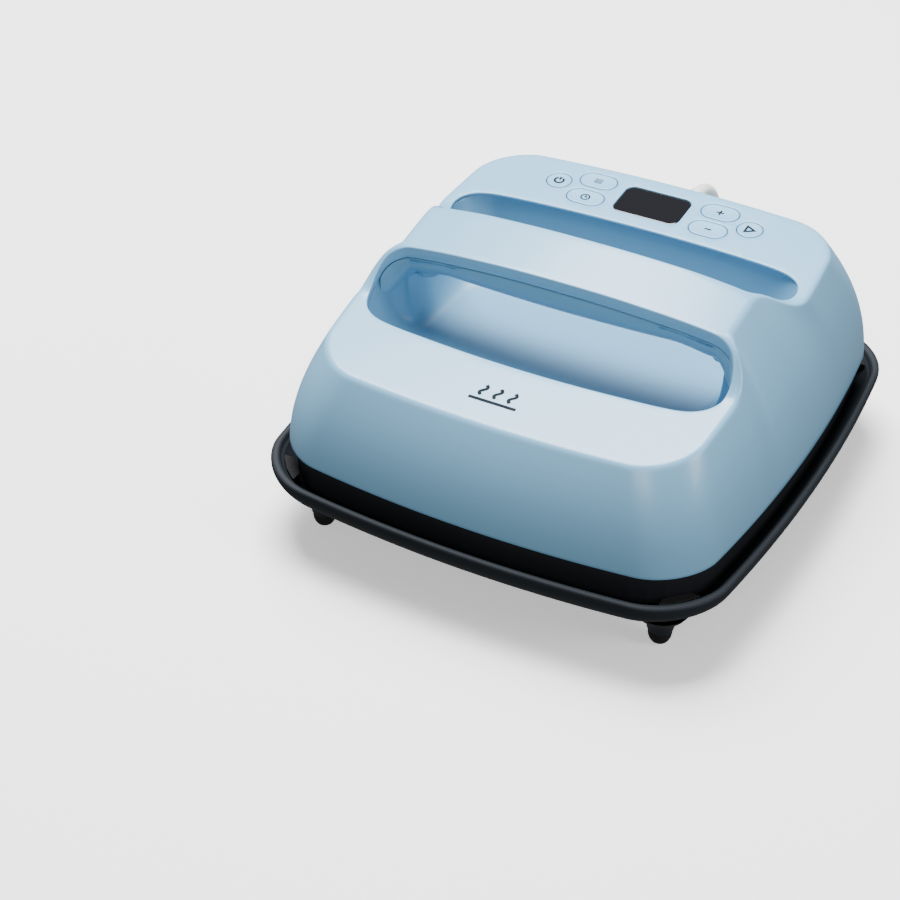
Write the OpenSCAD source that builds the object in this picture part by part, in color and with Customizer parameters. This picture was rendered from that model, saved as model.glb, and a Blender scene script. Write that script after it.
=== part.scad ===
// Hand-held heat press standing in its open safety base.
// Origin: centre of the base on the surface it stands on. +X right, -Y front, +Z up.

/* [Casing] */
// Width of the casing across its lower edge
casing_w = 252; // [250:1:254]
// Depth of the casing along its lower edge
casing_d = 274; // [272:1:276]
// Height of the casing's lower edge above the table
casing_z = 51; // [50.8:0.1:51.5]
// Wall thickness of the casing
wall = 3; // [2.6:0.1:3.2]
// Width of the top face inside the casing's shoulder line
crest_w = 214; // [212:1:216]
// Depth of the top face inside the casing's shoulder line
crest_d = 217; // [215:1:219]
// How far the shoulder line is pulled in at each end of the handle
waist = 15.5; // [14:0.5:16]

/* [Handle] */
// Height of the handle's crown above the table
handle_z = 146; // [144:1:148]
// Drop of the handle's arch from its crown to each end
handle_drop = 8.5; // [7:0.5:10]
// Depth of the turned-in edge round both finger openings
lip_depth = 6.5; // [6:0.5:7]
// Height of the underside of the handle
grip_z = 119; // [117:1:121]

/* [Control panel] */
// Width of the display window
lens_w = 38; // [36:1:40]
// Depth of the display window
lens_d = 24.6; // [24:0.2:25]
// Diameter of the round buttons
button_d = 13.6; // [13:0.2:14]
// Length of the long buttons
pill_l = 21; // [20:0.5:22]
// Gap round each button
button_gap = 0.35; // [0.3:0.05:0.4]

/* [Heat plate] */
// Side of the square heat plate
plate_w = 228.6; // [227:0.2:229]
// Thickness of the heat plate
plate_t = 7; // [6.5:0.5:7]
// Height of the plate's face above the table
plate_z = 28; // [28:0.1:28.2]

/* [Base] */
// Width of the base across its rim
base_w = 269; // [268:1:271]
// Depth of the base across its rim
base_d = 293; // [292:1:295]
// Height of the base's rim
rim_z = 42; // [41.5:0.5:42.5]

/* [Power cord] */
// Diameter of the power cord
cord_d = 6.5; // [6.4:0.1:6.6]

/* [Hidden] */

blue = "#b5cad8";
blue_dark = "#9fbccd";
black = "#17181b";
steel = "#b9bcc0";

round_fn = 48;
corner_steps = 5;

// Where points stand across the front and back, and along the sides, from -1 to 1
across = [-1, -0.93, -0.84, -0.56, -0.28, 0, 0.28, 0.56, 0.84, 0.93, 1];
along = [
  -1, -0.8, -0.62, -0.56, -0.5, -0.425, -0.37, -0.3,
  -0.1, 0.03, 0.12, 0.22, 0.32, 0.42, 0.54, 0.78, 1
];
even = [for (t = [-1:0.25:1]) t];

// Top surface: a sloped front, an arched handle and a tilted panel
slope_y = -70;
slope_z = 110;
slope_tilt = 0.17;
panel_y = 76;
panel_z = 126.6;
panel_tilt = 0.1;
panel_angle = atan(panel_tilt);
handle_y = -20;
handle_tilt = 0.2;
handle_half = 91;
crest_y = -9.7;
foot_r = 27;
crest_r = 24;
casing_bow = 10;
crest_bow = 6;

// Stack of parts above the heat plate
plate_top = plate_z + plate_t;
flange_z = 48;
flange_t = 3;
flange_top = flange_z + flange_t;
shield_z = 51.2;
element_r = 3.3;
element_z = plate_top + element_r + 0.1;
element_half = 72;
element_bend = 28;

// Where the fixings stand
shell_bosses = [for (sx = [-1, 1], sy = [-1, 1], p = [[36, 123.5], [66, 122]]) [sx * p.x, sy * p.y]];
plate_bosses = [for (sx = [-1, 1], sy = [-1, 1], p = [[105, 34], [34, 105]]) [sx * p.x, sy * p.y]];
shield_points = [for (sx = [-1, 1], sy = [-1, 1]) [sx * 50, sy * 50]];
handle_points = [for (x = [-56, 0, 56]) [x, -25]];
board_points = [for (sx = [-1, 1], y = [81, 111]) [sx * 72, y]];
foot_points = [for (sx = [-1, 1], sy = [-1, 1]) [sx * 98, sy * 112]];
pad_points = [for (sx = [-1, 1], sy = [-1, 1]) [sx * 66, sy * 76]];

// Buttons on the panel: position across it, position up it, length
round_buttons = [[-56.4, 0.6], [56.4, 0.6]];
long_buttons = [[-36.1, 8.6], [-36.1, -8.2], [36.1, 8.6], [36.1, -8.2]];
all_buttons = concat(round_buttons, long_buttons);
switch_z = -11.8;

// Power cord: it leaves the back, falls to the table and runs to its coil
cord_bore = cord_d / 2 + 0.05;
cord_x = 10;
exit_z = 114;
boot_y = 117;
boot_bend = 27;
boot_angle = 60;
coil_centre = [-35.5, 212];
coil_mean = 5.5 * cord_d;
coil_inside = coil_mean - 2 * cord_d;
coil_outside = coil_mean + 2 * cord_d;
cord_route = [
  [10, 140.5, 100.3], [10, 144.4, 93.6], [10, 149, 85.4], [10, 153.4, 76.8], [10, 157.4, 68],
  [10, 160.9, 59], [10, 164, 50]
];
landing_route = [
  [10, 164.2, 49.5], [10, 168, 38.6], [10, 173, 28], [10, 179.6, 18.6], [10, 187.8, 11],
  [10, 197, 6], [10, 205, 3.8], [10, 212, 3.3]
];
tail_route = [
  [-67.5, 244.5, 9.8], [-71, 241, 9.9], [-75, 236.8, 10.3], [-80, 231.5, 11],
  [-85, 226, 11.6], [-90, 221.4, 12], [-94, 216.9, 12]
];
plug_place = [-90, 220.5, 12];
plug_turn = 222;

// ---------- functions ----------

function smooth(u) = let (c = min(max(u, 0), 1)) c * c * (3 - 2 * c);

function ramp(v, low, high) = smooth((v - low) / (high - low));

function mix(p, q, t) = p + (q - p) * t;

// Share of the handle's height that the surface has reached at a point
function rise(x, y) =
  let (out = ramp(abs(x), 78, 92))
    ramp(y, -56 + 8 * out, -43 + 10 * out) * (1 - ramp(y, -7, 32));

function base_z(y) =
  y < handle_y ? slope_z + slope_tilt * (y - slope_y) : panel_z + panel_tilt * (y - panel_y);

function arch_z(x, y) =
  handle_z + handle_tilt * (y - handle_y) - handle_drop * pow(x / handle_half, 2);

function top_z(x, y) = mix(base_z(y), arch_z(x, y), rise(x, y));

// Rounded rectangle, anticlockwise from the front end of its right side
function corner_arc(x, y, r, from, m) =
  [for (i = [0:m - 1]) let (a = from + 90 * i / m) [x, y] + r * [cos(a), sin(a)]];

function flat_outline(a, b, r, m, xs, ys) =
  let (u = a - r, v = b - r, c = len(xs) - 1, d = len(ys) - 1)
    concat(
      [for (i = [0:d - 1]) [a, v * ys[i]]],
      corner_arc(u, v, r, 0, m),
      [for (i = [c:-1:1]) [u * xs[i], b]],
      corner_arc(-u, v, r, 90, m),
      [for (i = [d:-1:1]) [-a, v * ys[i]]],
      corner_arc(-u, -v, r, 180, m),
      [for (i = [0:c - 1]) [u * xs[i], -b]],
      corner_arc(u, -v, r, 270, m)
    );

// The same with each side bowed outwards, reaching a and b at its middle
function outline(a, b, r, bow, m = corner_steps, xs = across, ys = along) =
  let (a0 = a - bow, b0 = b - bow)
    [for (p = flat_outline(a0, b0, r, m, xs, ys))
      [p.x * (1 + bow / a0 * (1 - pow(min(abs(p.y) / b0, 1), 2))),
       p.y * (1 + bow / b0 * (1 - pow(min(abs(p.x) / a0, 1), 2)))]];

function shift_y(points, dy) = [for (p = points) [p.x, p.y + dy]];

function at_z(points, z) = [for (p = points) [p.x, p.y, z]];

// Pulls a shoulder outline in where the handle's ends rise from it
function waisted(points, depth) =
  [for (p = points) [p.x - sign(p.x) * depth * rise(95, p.y) * ramp(abs(p.x), 60, 80), p.y]];

function crest_outline(t) =
  waisted(shift_y(outline(crest_w / 2 - t, crest_d / 2 - t, crest_r, crest_bow), crest_y), waist);

// Profile of the side wall: upright at its foot, leaning in towards the shoulder
function wall_point(p, q, s) =
  let (
    d = q - p,
    p1 = p + [d.x * 0.06, d.y * 0.06, d.z * 0.45],
    p2 = q - [d.x * 0.34, d.y * 0.34, d.z * 0.2],
    u = 1 - s
  )
    u * u * u * p + 3 * u * u * s * p1 + 3 * u * s * s * p2 + s * s * s * q;

// Rings of the casing's wall from its lower edge to its shoulder, t inside the outer surface
function wall_rings(t, low) =
  let (
    foot = outline(casing_w / 2 - t, casing_d / 2 - t, foot_r, casing_bow),
    crest = crest_outline(t),
    last = len(foot) - 1
  )
    concat(
      low < casing_z ? [at_z(foot, low)] : [],
      [for (s = [0, 0.15, 0.3, 0.45, 0.6, 0.75, 0.88, 1])
        [for (i = [0:last])
          wall_point(
            [foot[i].x, foot[i].y, casing_z],
            [crest[i].x, crest[i].y, top_z(crest[i].x, crest[i].y) - t], s)]]
    );

// Solid through a stack of rings, each anticlockwise from above, lowest first
function side_faces(n, count) =
  concat(
    [for (j = [0:count - 2], i = [0:n - 1])
      let (a = j * n + i, b = j * n + (i + 1) % n) [a, a + n, b + n]],
    [for (j = [0:count - 2], i = [0:n - 1])
      let (a = j * n + i, b = j * n + (i + 1) % n) [a, b + n, b]]
  );

function skin_faces(n, count) =
  concat(
    [[for (i = [0:n - 1]) i]],
    side_faces(n, count),
    [[for (i = [n - 1:-1:0]) (count - 1) * n + i]]
  );

function flatten(rings) = [for (r = rings) each r];

module skin(rings) {
  polyhedron(points = flatten(rings), faces = skin_faces(len(rings[0]), len(rings)), convexity = 8);
}

// The same with a wavy last ring, closed by triangles that meet in its middle
module peaked_skin(rings) {
  n = len(rings[0]);
  count = len(rings);
  last = rings[count - 1];
  peak = [for (i = [0:2]) [for (p = last) p[i]] * [for (p = last) 1] / n];
  polyhedron(
    points = concat(flatten(rings), [peak]),
    faces = concat(
      [[for (i = [0:n - 1]) i]],
      side_faces(n, count),
      [for (i = [0:n - 1]) [(count - 1) * n + (i + 1) % n, (count - 1) * n + i, count * n]]
    ),
    convexity = 8);
}

// Round tube along a list of points
function unit(v) = v / norm(v);

function tangent(p, i) = unit(p[min(i + 1, len(p) - 1)] - p[max(i - 1, 0)]);

function side_of(t) = abs(t.z) > 0.9 ? unit(cross([0, 1, 0], t)) : unit(cross([0, 0, 1], t));

module tapered_tube(points, r1, r2, sides) {
  axis = side_of(points[1] - points[0]);
  last = len(points) - 1;
  rings = [for (i = [0:last])
    let (t = tangent(points, i), u = unit(axis - (axis * t) * t), v = cross(t, u), r = mix(r1, r2, i / last))
      [for (k = [0:sides - 1]) points[i] + r * (cos(360 * k / sides) * u + sin(360 * k / sides) * v)]];
  skin(rings);
}

module tube(points, r, sides = 8) {
  tapered_tube(points, r, r, sides);
}

// ---------- shared shapes ----------

module rounded_square(w, d, r) {
  polygon(flat_outline(w / 2, d / 2, r, 8, [-1, 1], [-1, 1]));
}

// Plan of the front finger opening; its back edge is the front of the handle
module finger_plan() {
  polygon(concat(
    [for (x = [-82:8.2:82]) [x, -76.7 + 4.2 * pow(x / 82, 2)]],
    [for (t = [-80:20:0]) [83.5 + 16 * cos(t), -56.5 + 16 * sin(t)]],
    [for (t = [10:20:90]) [89.5 + 9 * cos(t), -46.8 + 9 * sin(t)]],
    [for (x = [80:-10:-80]) [x, -42 + 4.2 * pow(x / 90, 2)]],
    [for (t = [90:20:170]) [-89.5 + 9 * cos(t), -46.8 + 9 * sin(t)]],
    [for (t = [180:20:260]) [-83.5 + 16 * cos(t), -56.5 + 16 * sin(t)]]
  ));
}

// Plan of the rear slot; its front edge is the back of the handle
module slot_plan() {
  right = concat(
    [for (t = [90:-15:0]) [84.5 + 14.5 * cos(t), 35.3 + 14.5 * sin(t)]],
    [[98.2, 27], [96.2, 17], [94, 7], [91.5, -1]]
  );
  polygon(concat(
    [for (x = [-76:9.5:76]) [x, 54 - 3.4 * pow(x / 76, 2)]],
    right,
    [for (x = [84:-12:-84]) [x, -8.3 + 4.2 * pow(x / 80, 2)]],
    [for (i = [len(right) - 1:-1:0]) [-right[i].x, right[i].y]]
  ));
}

module on_panel() {
  translate([0, panel_y, panel_z]) rotate([panel_angle, 0, 0]) children();
}

module pill(l, d, h) {
  linear_extrude(h) {
    translate([-(l - d) / 2, 0]) circle(d = d, $fn = round_fn);
    translate([(l - d) / 2, 0]) circle(d = d, $fn = round_fn);
    square([l - d, d], center = true);
  }
}

// A pan-head screw, head down when its length is positive
module screw(head_r, head_h, r, length) {
  cylinder(r = head_r, h = head_h, $fn = 24);
  translate([0, 0, length > 0 ? head_h : length]) cylinder(r = r, h = abs(length), $fn = 24);
}

// ---------- base ----------

base_rings = [[11, 35], [14, 28.2], [18, 20.2], [22, 13.5], [26, 8.2], [30, 4.2], [34, 1.5], [38, 0.2]];

function base_outline(t) = outline(base_w / 2 - t, base_d / 2 - t, 32 - t / 3, 10, 6, even, even);

module base_tray() {
  color(black)
    difference() {
      union() {
        skin(concat(
          [for (g = base_rings) at_z(base_outline(g.y), g.x)],
          [at_z(base_outline(0.3), rim_z - 1), at_z(base_outline(1.4), rim_z)]
        ));
        for (p = foot_points) translate([p.x, p.y, 9]) cylinder(r = 9.6, h = 19, $fn = round_fn);
      }
      skin(concat(
        [for (g = base_rings) at_z(base_outline(g.y + 4.2), g.x + 2.9)],
        [at_z(base_outline(3.6), rim_z + 0.01), at_z(base_outline(3.6), rim_z + 2)]
      ));
      for (p = foot_points) translate([p.x, p.y, 0]) cylinder(r = 3, h = 16, $fn = round_fn);
    }
}

module base_feet() {
  color("#1d1e21")
    for (p = foot_points)
      translate([p.x, p.y, 0]) {
        rotate_extrude($fn = round_fn)
          polygon([[0, 0], [3.2, 0], [4.8, 0.7], [5.9, 2], [7.2, 6], [8.4, 9], [0, 9]]);
        translate([0, 0, 9]) cylinder(r = 2.9, h = 6.5, $fn = round_fn);
      }
}

module rest_pads() {
  color("#2b2c30")
    for (p = pad_points)
      translate([p.x, p.y, 14.05])
        rotate_extrude($fn = round_fn)
          polygon([[0, 0], [13, 0], [12, 12.7], [11, 13.65], [0, 13.65]]);
}

// Lugs in the corners of the base that centre the press as it is set down
module corner_guides() {
  color("#33363b")
    intersection() {
      for (sx = [-1, 1], sy = [-1, 1])
        translate([0, 0, 24])
          linear_extrude(15)
            polygon([
              [sx * 112.6, sy * 113.8], [sx * 122, sy * 113.8],
              [sx * 102.6, sy * 133], [sx * 102.6, sy * 123.8]
            ]);
      skin(concat(
        [for (g = base_rings) at_z(base_outline(g.y + 5), g.x + 3.2)],
        [at_z(base_outline(4), rim_z + 2)]
      ));
    }
}

// ---------- casing ----------

// Closed solid of the casing. Its top is a grid of rows from front to back that ends on the shoulder line
module casing_solid(t, low) {
  rings = wall_rings(t, low);
  crest = rings[len(rings) - 1];
  n = len(crest);
  m = corner_steps;
  c = len(across) - 1;
  rows = len(along) + 2 * m;
  wall_points = n * len(rings);
  first = wall_points - n;
  front_left = n - 2 * m - c;
  back_right = len(along) - 1 + m;

  function left(j) = front_left + m - j;
  function right(j) = (j - m + n) % n;
  function vertex(j, k) =
    j == 0 ? first + (front_left + m + k) % n
    : j == rows - 1 ? first + back_right + c - k
    : k == 0 ? first + left(j)
    : k == c ? first + right(j)
    : wall_points + (j - 1) * (c - 1) + k - 1;

  inner = [for (j = [1:rows - 2], k = [1:c - 1])
    let (q = mix(crest[left(j)], crest[right(j)], (across[k] + 1) / 2))
      [q.x, q.y, top_z(q.x, q.y) - t]];

  polyhedron(
    points = concat(flatten(rings), inner),
    faces = concat(
      [[for (i = [0:n - 1]) i]],
      side_faces(n, len(rings)),
      [for (j = [0:rows - 2], k = [0:c - 1]) [vertex(j, k), vertex(j + 1, k), vertex(j + 1, k + 1)]],
      [for (j = [0:rows - 2], k = [0:c - 1]) [vertex(j, k), vertex(j + 1, k + 1), vertex(j, k + 1)]]
    ),
    convexity = 8);
}

module openings(grow, low) {
  translate([0, 0, low])
    linear_extrude(160 - low) {
      offset(delta = grow) finger_plan();
      offset(delta = grow) slot_plan();
    }
}

module panel_cuts() {
  on_panel() {
    translate([0, 0, -1.9]) linear_extrude(6) rounded_square(lens_w + 0.5, lens_d + 0.5, 5.2);
    translate([0, 0, -8]) linear_extrude(10) rounded_square(lens_w - 4, lens_d - 4, 3.2);
    for (p = round_buttons)
      translate([p.x, p.y, -8]) cylinder(d = button_d + 2 * button_gap, h = 16, $fn = round_fn);
    for (p = long_buttons)
      translate([p.x, p.y, -8]) pill(pill_l + 2 * button_gap, button_d - 0.6 + 2 * button_gap, 16);
  }
}

// The hollow of the casing: it leaves the turned-in edges of the openings and the screw posts
module casing_hollow() {
  difference() {
    casing_solid(wall, casing_z - 1);
    difference() {
      openings(2.4, 90);
      translate([0, 0, -lip_depth]) casing_solid(0, casing_z);
    }
    shell_posts();
  }
}

module top_shell() {
  color(blue)
    difference() {
      casing_solid(0, casing_z);
      casing_hollow();
      openings(0, 60);
      panel_cuts();
      translate([cord_x, 100.8, exit_z]) rotate([-90, 0, 0]) cylinder(d = 11.4, h = 30, $fn = round_fn);
      for (p = shell_bosses) translate([p.x, p.y, flange_top - 1]) cylinder(r = 1.7, h = 18, $fn = 24);
      for (p = handle_points) translate([p.x, p.y, grip_z + 2]) cylinder(r = 1.35, h = 13, $fn = 24);
      on_panel() for (s = [-1, 1]) translate([s * 69, 0, -14]) cylinder(r = 1.55, h = 8.5, $fn = 24);
    }
}

// Screw posts inside the casing, under the handle's top and under the panel
module shell_posts() {
  for (p = shell_bosses)
    translate([p.x, p.y, flange_top + 0.1]) {
      cylinder(r = 4.5, h = 22, $fn = round_fn);
      translate([-1.2, p.y > 0 ? 0 : -14, 7.6]) cube([2.4, 14, 14.4]);
    }
  for (p = handle_points) translate([p.x, p.y, grip_z + 3.4]) cylinder(r = 3.8, h = 40, $fn = round_fn);
  on_panel() for (s = [-1, 1]) translate([s * 69, 0, switch_z]) cylinder(r = 3.6, h = 20, $fn = round_fn);
}

// ---------- handle cover ----------

// Underside of the handle: level in the middle, sweeping down to a root at each end
function grip_under(x) = grip_z - 15 * pow(ramp(abs(x), 56, 84), 1.3);

function grip_front(x) = -42 + 4.2 * pow(x / 90, 2);

function grip_back(x) = -8.3 + 4.2 * pow(x / 80, 2);

// U-shaped section of the handle cover at x, t inside its outer surface
function grip_section(x, t) =
  let (
    f = grip_front(x) + 0.1 + t,
    b = grip_back(x) - 0.1 - t,
    zf = arch_z(x, grip_front(x)) - lip_depth - 1,
    zb = arch_z(x, grip_back(x)) - lip_depth - 1,
    low = grip_under(x) + t,
    mid = (f + b) / 2,
    half = (b - f) / 2
  )
    concat(
      [[x, b, zb], [x, b, mix(low, zb, 0.5)]],
      [for (a = [20:20:160])
        [x, mid + half * cos(a) * (1 - 0.12 * sin(a)), mix(low + 11, low, sin(a))]],
      [[x, f, mix(low, zf, 0.5)], [x, f, zf]]
    );

module grip_solid(t, half, extra) {
  stations = [for (s = [10:-1:-10]) half * s / 10];
  rings = [for (x = stations)
    let (g = grip_section(x, t))
      [for (i = [0:len(g) - 1])
        (i == 0 || i == len(g) - 1) ? g[i] + [0, 0, extra] : g[i]]];
  skin(rings);
}

module handle_cover() {
  color(blue_dark)
    difference() {
      grip_solid(0, 83.4, 0);
      grip_solid(2.4, 81, 4);
      for (p = handle_points) {
        translate([p.x, p.y, grip_z - 6]) cylinder(r = 1.5, h = 12, $fn = 24);
        translate([p.x, p.y, grip_z - 6]) cylinder(r = 3.3, h = 7.3, $fn = 24);
      }
    }
}

// ---------- cavity liner ----------

liner_y = -11.3;

function liner_top(t) =
  waisted(shift_y(outline(99.6 + t, 65.4 + t, 17 + t, 4, 5, even), liner_y), waist - 1);

function liner_bottom(t, s) = shift_y(outline(84 + t - s, 52 + t - s, 20, 4, 5, even), liner_y);

// Upper edge of the liner: just under the turned-in edges of the openings
function liner_edge(x, y) = min(top_z(x, y - 3), top_z(x, y + 3), 124.5) - lip_depth - 0.5;

function liner_rings(t, floor_z, up) =
  let (top = liner_top(t), low = liner_bottom(t, 0), pan = liner_bottom(t, 14), last = len(top) - 1)
    concat(
      [at_z(pan, floor_z), at_z(liner_bottom(t, 5), floor_z + 2.2), at_z(low, floor_z + 7)],
      [for (s = [0.3, 0.65, 1])
        [for (i = [0:last])
          let (q = mix(low[i], top[i], s))
            [q.x, q.y, mix(floor_z + 7, liner_edge(top[i].x, top[i].y) + up, s)]]]
    );

module cavity_liner() {
  color(blue_dark)
    difference() {
      peaked_skin(liner_rings(1.9, 81.6, 0));
      peaked_skin(liner_rings(0, 84, 3));
    }
}

// ---------- skirt and heating stack ----------

module skirt_band(a_in, z0, z1) {
  translate([0, 0, z0])
    linear_extrude(z1 - z0)
      polygon(outline(casing_w / 2 - a_in, casing_d / 2 - a_in, foot_r, casing_bow));
}

module skirt_frame() {
  color("#1f2023")
    difference() {
      union() {
        skirt_band(4.6, 31, 34);
        skirt_band(2.6, 34, casing_z - 0.4);
        skirt_band(3.9, casing_z - 0.5, 56.4);
      }
      translate([0, 0, 30]) linear_extrude(flange_z - 30) rounded_square(231.2, 231.2, 19);
      translate([0, 0, 30])
        linear_extrude(40)
          difference() {
            rounded_square(196, 196, 12);
            for (sx = [-1, 1]) translate([sx * 72, 88]) square([14, 26], center = true);
          }
      difference() {
        skirt_band(7, 30, flange_z);
        translate([0, 0, 30]) linear_extrude(flange_z - 30) rounded_square(236, 236, 21);
      }
      skirt_band(6.4, flange_top, 60);
      for (p = shell_bosses) translate([p.x, p.y, 40]) cylinder(r = 2, h = 20, $fn = 24);
      for (p = plate_bosses) translate([p.x, p.y, 40]) cylinder(r = 2, h = 20, $fn = 24);
      for (p = board_points) translate([p.x, p.y, 40]) cylinder(r = 1.4, h = 20, $fn = 24);
    }
}

module heat_plate() {
  color("#8e9196")
    difference() {
      union() {
        translate([0, 0, plate_z]) linear_extrude(plate_t) rounded_square(plate_w, plate_w, 22);
        for (p = plate_bosses)
          translate([p.x, p.y, plate_top - 1])
            cylinder(r = 4.4, h = flange_z - plate_top + 0.95, $fn = round_fn);
        for (p = shield_points) translate([p.x, p.y, plate_top - 1]) cylinder(r = 5, h = 3, $fn = round_fn);
      }
      for (p = plate_bosses) translate([p.x, p.y, plate_top + 1]) cylinder(r = 1.65, h = 20, $fn = 24);
      for (p = shield_points) translate([p.x, p.y, plate_z + 2]) cylinder(r = 2.05, h = 20, $fn = 24);
    }
}

module plate_seal() {
  color("#6c6f73")
    translate([0, 0, plate_top + 0.1])
      linear_extrude(flange_z - plate_top - 0.2)
        difference() {
          rounded_square(226, 226, 21);
          rounded_square(221.4, 221.4, 19);
        }
}

module element_corner(x, y, turn) {
  translate([x, y, element_z])
    rotate([0, 0, turn])
      rotate_extrude(angle = 90, $fn = round_fn)
        translate([element_bend, 0]) circle(r = element_r, $fn = 24);
}

module rod(p, q, r) {
  d = q - p;
  translate(p)
    rotate([0, acos(d.z / norm(d)), atan2(d.y, d.x)])
      cylinder(r = r, h = norm(d), $fn = 24);
}

// Tubular element bent to a square loop, with both ends turned up at the back
module heating_element() {
  e = element_half;
  c = element_half - element_bend;
  z = element_z;
  color("#6f6a64") {
    element_corner(c, -c, -90);
    element_corner(-c, -c, 180);
    element_corner(c, c, 0);
    element_corner(-c, c, 90);
    rod([-c, -e, z], [c, -e, z], element_r);
    for (s = [-1, 1]) {
      rod([s * e, -c, z], [s * e, c, z], element_r);
      rod([s * c, e, z], [s * 14, e, z], element_r);
    }
  }
}

module element_terminals() {
  color("#d8d4c8")
    for (s = [-1, 1]) {
      translate([s * 9.5, element_half, element_z])
        rotate([0, 90, 0])
          cylinder(r = element_r, h = 8.6, center = true, $fn = 24);
      translate([s * 8.5, element_half, element_z + 3]) cylinder(r = 1.6, h = 17, $fn = 24);
    }
}

module insulation_blanket() {
  color("#ece8dc")
    difference() {
      translate([0, 0, element_z + 3.6])
        linear_extrude(flange_z + 2.6 - element_z - 3.6) rounded_square(192, 192, 14);
      for (p = shield_points) translate([p.x, p.y, 30]) cylinder(r = 5.6, h = 40, $fn = round_fn);
      translate([0, 78, 40]) cube([34, 30, 40], center = true);
      for (sx = [-1, 1]) translate([sx * 72, 88, 45]) cube([18, 30, 30], center = true);
      translate([-30, 0, 45]) cube([26, 16, 40], center = true);
      translate([30, 0, 45]) cube([26, 16, 40], center = true);
    }
}

module heat_shield() {
  color(steel)
    difference() {
      translate([0, -12, shield_z]) linear_extrude(1.2) rounded_square(190, 164, 10);
      for (p = shield_points) translate([p.x, p.y, 40]) cylinder(r = 2.2, h = 30, $fn = 24);
      for (x = [-60:30:60]) translate([x, -60, 50]) linear_extrude(5) rounded_square(14, 3, 1.4);
    }
}

module shield_posts() {
  color("#c9a44c")
    for (p = shield_points)
      translate([p.x, p.y, plate_top + 2.1])
        difference() {
          cylinder(r = 4, h = shield_z - plate_top - 2.2, $fn = 6);
          translate([0, 0, shield_z - plate_top - 10]) cylinder(r = 1.65, h = 12, $fn = 24);
          translate([0, 0, -1]) cylinder(r = 1.65, h = 5, $fn = 24);
        }
}

module shield_screws() {
  color(steel)
    for (p = shield_points)
      translate([p.x, p.y, shield_z + 1.25]) screw(3.2, 2, 1.6, -7);
}

module plate_screws() {
  color(steel)
    for (p = plate_bosses)
      translate([p.x, p.y, flange_top + 0.05]) screw(3.4, 2.2, 1.6, -11);
}

module shell_screws() {
  color(steel)
    for (p = shell_bosses)
      translate([p.x, p.y, flange_z - 2.6]) screw(3.4, 2.5, 1.65, 17);
}

module handle_screws() {
  color(steel)
    for (p = handle_points)
      translate([p.x, p.y, grip_z + 0.1]) screw(3, 1.1, 1.3, 12);
}

module thermistor() {
  color("#3a3b3e")
    translate([30, 0, plate_top + 0.1]) {
      cylinder(r = 4, h = 5, $fn = round_fn);
      translate([-9, -3, 0]) cube([18, 6, 1.5]);
    }
}

module thermal_fuse() {
  color("#c8c2b4")
    translate([-30, 0, plate_top + 0.1]) {
      translate([-9, 0, 3.4]) rotate([0, 90, 0]) cylinder(r = 3, h = 18, $fn = 24);
      translate([-4, -5, 0]) cube([8, 10, 1.2]);
    }
}

// ---------- control panel ----------

module display_lens() {
  color("#101113")
    on_panel()
      translate([0, 0, -1.8]) linear_extrude(1.35) rounded_square(lens_w, lens_d, 5);
}

module display_module() {
  color("#2e3338")
    on_panel()
      translate([0, 0, -7.6]) linear_extrude(4.2) rounded_square(44, 27.6, 1.5);
}

module control_board() {
  color("#2f6b4a")
    on_panel()
      translate([0, 0, switch_z - 1.7])
        difference() {
          linear_extrude(1.6) rounded_square(148, 30, 2);
          for (s = [-1, 1]) translate([s * 69, 0, -1]) cylinder(r = 1.6, h = 4, $fn = 24);
        }
}

module tact_switches() {
  color("#55585c")
    on_panel()
      for (p = all_buttons) {
        translate([p.x - 3, p.y - 3, switch_z]) cube([6, 6, 3]);
        translate([p.x, p.y, switch_z + 2.9]) cylinder(r = 1.7, h = 1.3, $fn = 24);
      }
}

module board_screws() {
  color(steel)
    on_panel()
      for (s = [-1, 1]) translate([s * 69, 0, switch_z - 4]) screw(2.9, 2.2, 1.5, 6.5);
}

module round_cap(p) {
  color(blue)
    on_panel()
      translate([p.x, p.y, 0]) {
        translate([0, 0, -3.4]) cylinder(d = button_d, h = 3.5, $fn = round_fn);
        translate([0, 0, -4.8]) cylinder(d = button_d + 2.2, h = 1.4, $fn = round_fn);
        translate([0, 0, -6.5]) cylinder(r = 1.8, h = 1.8, $fn = 24);
      }
}

module long_cap(p) {
  color(blue)
    on_panel()
      translate([p.x, p.y, 0]) {
        translate([0, 0, -3.4]) pill(pill_l, button_d - 0.6, 3.5);
        translate([0, 0, -4.8]) pill(pill_l + 1.6, button_d + 1, 1.4);
        translate([0, 0, -6.5]) cylinder(r = 1.8, h = 1.8, $fn = 24);
      }
}

module button_power() { round_cap(round_buttons[0]); }
module button_start() { round_cap(round_buttons[1]); }
module button_heat() { long_cap(long_buttons[0]); }
module button_timer() { long_cap(long_buttons[1]); }
module button_plus() { long_cap(long_buttons[2]); }
module button_minus() { long_cap(long_buttons[3]); }

// ---------- electronics in the rear compartment ----------

board_z = 64;

module power_board() {
  color("#2d5f45")
    difference() {
      translate([0, 96, board_z]) linear_extrude(1.6) rounded_square(160, 40, 2);
      for (p = board_points) translate([p.x, p.y, 60]) cylinder(r = 1.6, h = 10, $fn = 24);
    }
}

module board_posts() {
  color("#c9a44c")
    for (p = board_points) {
      translate([p.x, p.y, flange_top + 0.05]) cylinder(r = 3, h = board_z - flange_top - 0.1, $fn = 6);
      translate([p.x, p.y, board_z - 0.2]) cylinder(r = 1.5, h = 3, $fn = 24);
      translate([p.x, p.y, board_z + 1.65]) cylinder(r = 2.9, h = 1.8, $fn = 24);
    }
}

module transformer() {
  color("#d6b13a")
    translate([-46, 100, board_z + 1.7]) {
      translate([-13, -11, 0]) cube([26, 22, 4]);
      translate([-11, -9, 4]) cube([22, 18, 15]);
      translate([-14, -5, 6]) cube([28, 10, 11]);
    }
}

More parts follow.
